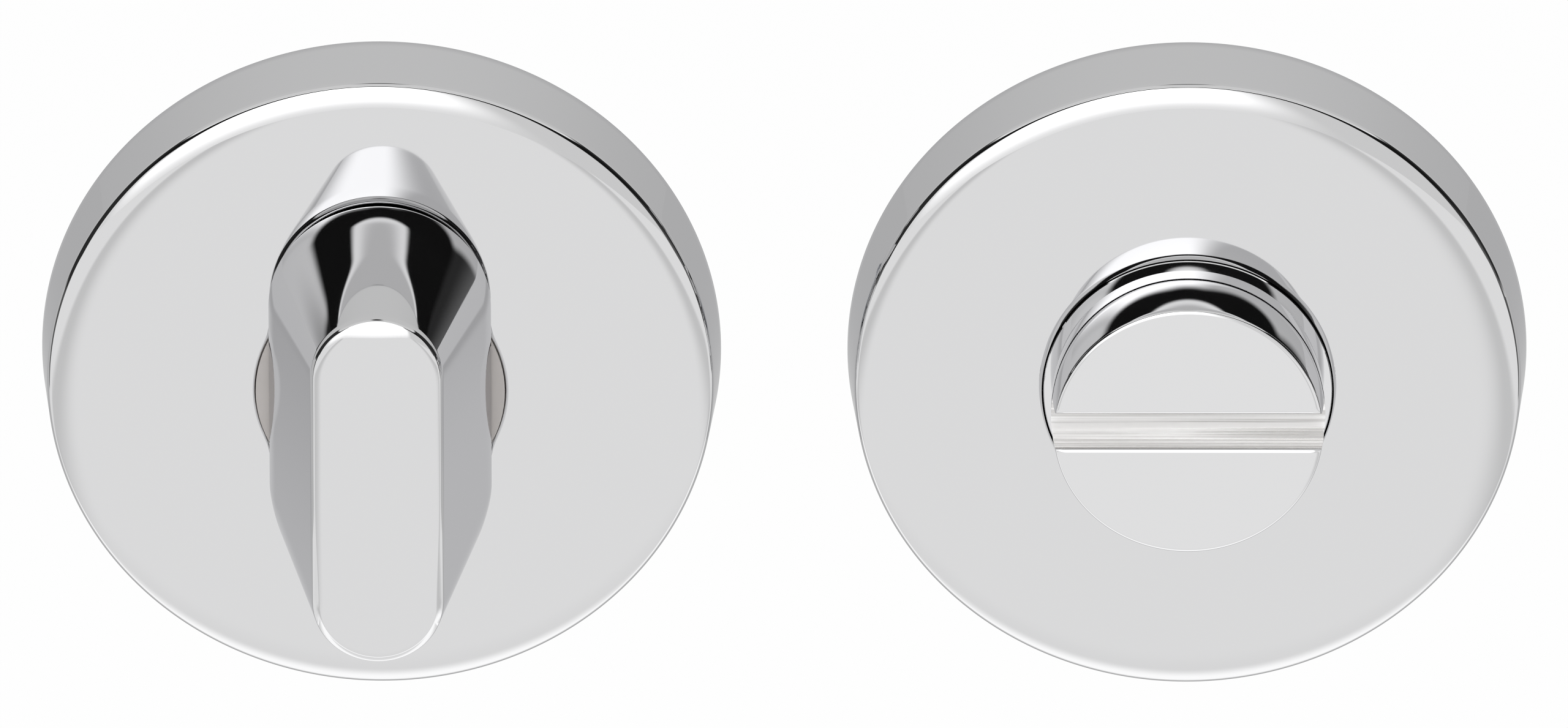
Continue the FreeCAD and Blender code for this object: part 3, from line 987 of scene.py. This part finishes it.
# %% [markdown]
# A slotted head is needed on the plug and on the bolts. Its loops have many points along the two rims
# and a few across the slot's mouths, so that the slot's corners fall on points. A boolean cut would do
# it too, but leaves ragged faces along a softened rim.

# %% Slotted heads


def spread(start, end, count):
    """Evenly spaced numbers, both ends included."""
    return [start + (end - start) * step / (count - 1) for step in range(count)]


def with_corners(angles, corners):
    """The same angles, with those nearest to some corners moved on to them."""
    moved = list(angles)
    for corner in corners:
        nearest = min(range(len(moved)), key=lambda index: abs(moved[index] - corner))
        moved[nearest] = corner
    return moved


def slot_angles(radius, width, counts):
    """Angles round a slotted drum, by counts of points on a rim, a mouth and a wall."""
    rim_count, mouth_count = counts[:2]
    mouth = math.asin(width / 2 / radius)
    return (
        spread(mouth, math.pi - mouth, rim_count)
        + spread(math.pi - mouth, math.pi + mouth, mouth_count)[1:-1]
        + spread(math.pi + mouth, math.tau - mouth, rim_count)
        + spread(math.tau - mouth, math.tau + mouth, mouth_count)[1:-1]
    )


def half_drum_loop(out, radius, wall, side, counts):
    """D-shaped outline beside a slot: first the round rim, then the slot's wall."""
    rim_count, wall_count = counts[0], counts[2]
    corner = math.asin(wall / radius)
    rim_angles = spread(corner, math.pi - corner, rim_count)
    outline = [(radius * math.cos(angle), radius * math.sin(angle)) for angle in rim_angles]
    reach = radius * math.cos(corner)
    outline += [(across, wall) for across in spread(-reach, reach, wall_count)[1:-1]]
    return [(side * across, side * up, out) for across, up in outline]


def slotted_head(builder, floor_row, levels, counts, axis_x):
    """Two half drums on the row at a slot's floor, by levels of (out, radius, wall).

    Gives back the faces of the slot's walls and floor.
    """
    rim_count, mouth_count = counts[:2]
    slot_faces = []
    walls = []
    for side, first in ((1, 0), (-1, rim_count + mouth_count - 2)):
        start = half_drum_loop(*levels[0], side, counts)[rim_count:]
        below = floor_row[first:first + rim_count] + row_of(builder, start, axis_x)
        walls.append(below[rim_count - 1:] + below[:1])
        for level in levels[1:]:
            above = row_of(builder, half_drum_loop(*level, side, counts), axis_x)
            faces = bridge(builder, below, above)
            if level[2] == levels[0][2]:
                slot_faces += faces[rim_count - 1:]
            below = above
        builder.faces.new(below)
    gap = mouth_count - 2
    left_mouth = floor_row[rim_count:rim_count + gap]
    right_mouth = floor_row[2 * rim_count + gap:]
    upper_wall, lower_wall = [list(reversed(wall)) for wall in walls]
    floor = builder.faces.new(upper_wall + left_mouth + lower_wall + right_mouth)
    return slot_faces + [floor]


plug_counts = (131, 11, 41)
plug_angles = slot_angles(plug_r(slot_floor_out), slot_width, plug_counts)
print("points round the plug:", len(plug_angles))

# %% [markdown]
# A polishing wheel never leaves a flat face flat up to its edge. It dubs the margin: the face tips over
# a little more with every tenth of a millimetre, and then ends in a crisp but fine edge. The margin is
# an arc of a large circle, the edge an arc of a very small one. A bevel has one width and one curve,
# so the two arcs are drawn as points.

# %% The plug's softened rim


def softened_edge(margin, margin_deg, edge_r, wall_deg, steps):
    """Points (inset from the wall, drop below the face) from the face over the margin to the wall."""
    tip = math.radians(margin_deg)
    wall = math.radians(wall_deg)
    edge_run = edge_r * (math.sin(wall) - math.sin(tip))
    margin_r = (margin - edge_run) / math.sin(tip)
    points = []
    for step in range(steps + 1):
        tilt = tip * step / steps
        points.append((margin - margin_r * math.sin(tilt), margin_r * (1 - math.cos(tilt))))
    last_inset, last_drop = points[-1]
    edge_steps = 5
    for step in range(1, edge_steps + 1):
        tilt = tip + (wall - tip) * step / edge_steps
        inset = last_inset - edge_r * (math.sin(tilt) - math.sin(tip))
        points.append((inset, last_drop + edge_r * (math.cos(tip) - math.cos(tilt))))
    return points


plug_rim_steps = 8
plug_edge = softened_edge(plug_margin, plug_margin_deg, plug_edge_r, plug_wall_deg, plug_rim_steps)
print(f"plug rim drops {plug_edge[-1][1]:.2f} mm over {plug_margin} mm")

# %% [markdown]
# The plug itself: its barrelled side, the flange that the rose keeps from falling out, and the same
# neck and socket as the knob's, but with points on the socket's corners. The slot's faces get the
# milled finish.

# %% Release plug


def release_plug():
    """Drum, slot, flange, neck and spindle socket."""
    builder = bmesh.new()
    corners = [math.pi / 4 + turn * math.pi / 2 for turn in range(4)]
    angles = with_corners(plug_angles, corners)
    lower_count = 12
    upper_count = 10
    side_levels = spread(slot_floor_out, flange_top_out, lower_count)
    lower = [ring_loop(plug_r(out), out, angles) for out in side_levels]
    flange_bottom = flange_top_out - plug_flange_thick
    lower += [ring_loop(plug_flange_r - flange_chamfer, flange_top_out, angles)]
    lower += [ring_loop(plug_flange_r, flange_top_out - flange_chamfer, angles)]
    lower += [ring_loop(plug_flange_r, flange_bottom, angles)]
    lower += [ring_loop(neck_r, flange_bottom, angles)] + neck_loops(angles)
    lower += [square_loop(socket_side, neck_end_out, angles)]
    lower += [square_loop(socket_side, plug_socket_out, angles)]
    rows = skin(builder, lower, release_axis_x)
    builder.faces.new(rows[-1])
    edge_bottom = plug_front_out - plug_edge[-1][1]
    steps = [(out, 0.0) for out in spread(slot_floor_out, edge_bottom, upper_count)][:-1]
    steps += [(plug_front_out - drop, inset) for inset, drop in reversed(plug_edge)]
    levels = [(out, plug_r(out) - inset, slot_width / 2 + inset) for out, inset in steps]
    for face in slotted_head(builder, rows[0], levels, plug_counts, release_axis_x):
        face.material_index = 1
    return finish_piece("release_plug_polished", builder, [plug_chrome, slot_chrome])


settle(release_plug(), "release_plug", "release")

# %% [markdown]
# ## Bolts, posts and screws
# The fixings show their threads behind the roses. A thread is rolled, so it runs out smoothly into the
# plain shank and ends in a small chamfer. Here it is a tall stack of loops whose radius rises and falls
# along a right-handed helix. A winding strip would give crisper crests but needs patching at its ends.

# %% Threads
metric_form = (2.2, 0.6)
wood_form = (2.6, 1.6)
levels_per_turn = 8
fastener_around = 48
fastener_angles = [math.tau * step / fastener_around for step in range(fastener_around)]


def thread_loop(out, core_r, crest_r, pitch, form, angles=fastener_angles):
    """One level of a right-handed thread. The form sets how broad its crest and its root are."""
    points = []
    for angle in angles:
        turn = (out / pitch - angle / math.tau) % 1.0
        rise = min(max(form[0] * (1 - abs(2 * turn - 1)) - form[1], 0.0), 1.0)
        radius = core_r + (crest_r - core_r) * rise
        points.append((radius * math.cos(angle), radius * math.sin(angle), out))
    return points


def thread_levels(start, end, pitch):
    """Levels along a thread, both ends included."""
    return spread(start, end, math.ceil(abs(start - end) / pitch * levels_per_turn) + 1)


print("thread levels in a turn:", levels_per_turn)

# %% [markdown]
# The through bolts have a slotted cheese head and go into the posts of the other half, whose bores are
# tapped for them. The shank is thinner than the thread, as on a rolled bolt. First the bolts.

# %% Through bolts
fastener_chamfer = 0.2
bolt_pitch = 0.7
bolt_r = 2.0
bolt_core_r = 1.57
bolt_shank_r = 1.75
bolt_end_r = 1.4
bolt_plain_out = -1.0
bolt_head_r = 3.5
bolt_head_height = 2.6
bolt_slot = 1.2
bolt_top = front_of("turn_fixing_bolts")
bolt_end = back_of("turn_fixing_bolts")
bolt_across = size_of("turn_fixing_bolts")[0] / 2 - bolt_head_r


def bolt_shank(angles):
    """Plain shank and thread of a bolt, from the head's back to the chamfered end."""
    loops = [ring_loop(bolt_shank_r, bolt_top - bolt_head_height, angles)]
    for out in thread_levels(bolt_plain_out, bolt_end, bolt_pitch):
        run_out = min((bolt_plain_out - out) / bolt_pitch, 1.0)
        core = bolt_shank_r + (bolt_core_r - bolt_shank_r) * run_out
        crest = bolt_shank_r + (bolt_r - bolt_shank_r) * run_out
        chamfer = bolt_end_r + out - bolt_end
        core, crest = min(core, chamfer), min(crest, chamfer)
        loops.append(thread_loop(out, core, crest, bolt_pitch, metric_form, angles))
    return loops


def fixing_bolts():
    """Two cheese-headed bolts with a screwdriver slot."""
    builder = bmesh.new()
    counts = (21, 5, 13)
    angles = slot_angles(bolt_head_r, bolt_slot, counts)
    floor = bolt_top - bolt_slot
    head_back = bolt_top - bolt_head_height
    wall = bolt_slot / 2
    levels = [(floor, bolt_head_r, wall), (bolt_top - fastener_chamfer, bolt_head_r, wall)]
    levels += [(bolt_top, bolt_head_r - fastener_chamfer, wall)]
    for axis_x in (turn_axis_x - bolt_across, turn_axis_x + bolt_across):
        loops = [ring_loop(bolt_head_r, floor, angles), ring_loop(bolt_head_r, head_back, angles)]
        rows = skin(builder, loops + bolt_shank(angles), axis_x)
        builder.faces.new(rows[-1])
        slotted_head(builder, rows[0], levels, counts, axis_x)
    return finish_piece("turn_fixing_bolts_threaded", builder, [zinc_steel])


settle(fixing_bolts(), "turn_fixing_bolts", "base")

# %% [markdown]
# A post is a sleeve with a small head. Its loops go round the outside and then into the tapped bore, so
# that the thread inside is a real surface and not a texture.

# %% Threaded posts
post_r = 2.9
post_head_r = 3.6
post_head_height = 1.6
post_bore_r = 1.65
post_bore_depth = 17.181
post_thread_depth = 13.0
post_mouth_r = bolt_r + 0.05
post_mouth_depth = 0.4
post_top = front_of("release_threaded_posts")
post_end = back_of("release_threaded_posts")


def threaded_posts():
    """Two headed posts with a tapped bore that is chamfered at its mouth."""
    builder = bmesh.new()
    head_back = post_top - post_head_height
    outside = [(post_head_r - fastener_chamfer, post_top), (post_head_r, post_top - fastener_chamfer)]
    outside += [(post_head_r, head_back), (post_r, head_back), (post_r, post_end + fastener_chamfer)]
    outside += [(post_r - fastener_chamfer, post_end), (post_mouth_r, post_end)]
    loops = [ring_loop(radius, out, fastener_angles) for radius, out in outside]
    thread_end = post_end + post_thread_depth
    for out in thread_levels(post_end + post_mouth_depth, thread_end, bolt_pitch):
        run_out = min((thread_end - out) / bolt_pitch, 1.0)
        cut_r = post_bore_r + (bolt_r - post_bore_r) * run_out
        loops.append(thread_loop(out, post_bore_r, cut_r, bolt_pitch, metric_form))
    loops.append(ring_loop(post_bore_r, post_end + post_bore_depth, fastener_angles))
    for axis_x in (release_axis_x - bolt_across, release_axis_x + bolt_across):
        rows = skin(builder, loops, axis_x)
        builder.faces.new(rows[0])
        builder.faces.new(rows[-1])
    return finish_piece("release_threaded_posts_tapped", builder, [zinc_steel])


settle(threaded_posts(), "release_threaded_posts", "base")

# %% [markdown]
# A wood screw's thread is coarse and sharp, with a wide root between its turns, and follows the shank
# down to the point. The cross recess in its head is a loop too: the outline of a plus sign. Cutting it
# with a boolean would work as well, but then the head's rim and the recess share no points.

# %% Wood screws
screw_pitch = 1.3
screw_r = 1.75
screw_core_r = 1.12
screw_shank_r = 1.3
screw_plain_out = -0.6
screw_head_r = 3.4
screw_rim = 0.08
screw_point = 4.5
screw_blunt = 0.1
recess_length = 3.6
recess_width = 0.9
recess_depth = 1.3
above_zero = 1e-9


def cross_loop(out, angles):
    """A plus sign about the screw's axis."""
    points = []
    for angle in angles:
        side = max(abs(math.cos(angle)), above_zero)
        rise = max(abs(math.sin(angle)), above_zero)
        level_arm = min(recess_length / side, recess_width / rise) / 2
        upright_arm = min(recess_width / side, recess_length / rise) / 2
        reach = max(level_arm, upright_arm)
        points.append((reach * math.cos(angle), reach * math.sin(angle), out))
    return points


def wood_screw_loops(top, tip):
    """One screw from the floor of its recess to its point."""
    arm_corner = math.atan2(recess_width, recess_length)
    corners = []
    for quarter in range(5):
        arm = quarter * math.pi / 2
        corners += [arm - arm_corner, arm + arm_corner]
    angles = with_corners(fastener_angles, corners[1:-1])
    sunk = screw_head_r - screw_shank_r
    loops = [cross_loop(top - recess_depth, angles), cross_loop(top, angles)]
    rim_r = screw_head_r - screw_rim
    loops += [ring_loop(rim_r, top, angles), ring_loop(rim_r, top - screw_rim, angles)]
    loops += [ring_loop(screw_shank_r, top - sunk, angles)]
    for out in thread_levels(screw_plain_out, tip + screw_blunt, screw_pitch):
        run_out = min((screw_plain_out - out) / screw_pitch, 1.0)
        narrowing = min((out - tip) / screw_point, 1.0)
        core = (screw_shank_r + (screw_core_r - screw_shank_r) * run_out) * narrowing
        crest = (screw_shank_r + (screw_r - screw_shank_r) * run_out) * narrowing
        loops.append(thread_loop(out, core, crest, screw_pitch, wood_form, angles))
    return loops


def wood_screws(node, axis_x):
    """The upper and the lower screw of one half."""
    builder = bmesh.new()
    loops = wood_screw_loops(front_of(node), back_of(node))
    height = size_of(node)[2] / 2 - screw_head_r
    for lift in (-height, height):
        lifted = [[(across, up + lift, out) for across, up, out in loop] for loop in loops]
        rows = skin(builder, lifted, axis_x)
        builder.faces.new(rows[0])
        builder.faces.new(rows[-1])
    return finish_piece(node + "_threaded", builder, [zinc_steel])


settle(wood_screws("turn_wood_screws", turn_axis_x), "turn_wood_screws", "base")
settle(wood_screws("release_wood_screws", release_axis_x), "release_wood_screws", "base")

# %% [markdown]
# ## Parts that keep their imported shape
# Bushes, washers, springs, circlips, the pin, the spindle and the fixing plates already have their
# true shape. They only need their finish, which goes on their material slots.

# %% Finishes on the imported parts
packed_finish = {
    "plate_nylon": plate_nylon,
    "bush_nylon": bush_nylon,
    "washer_brass": washer_brass,
    "zinc_steel": zinc_steel,
    "spring_steel": spring_steel,
    "polished_chrome": chrome,
}
for row in frame["record"]["subparts"]:
    node = frame["nodes"][row["node"]]
    node.data.materials.clear()
    node.data.materials.append(packed_finish[row["material_slot"]])
print("packed parts with a finish:", len(frame["nodes"]))
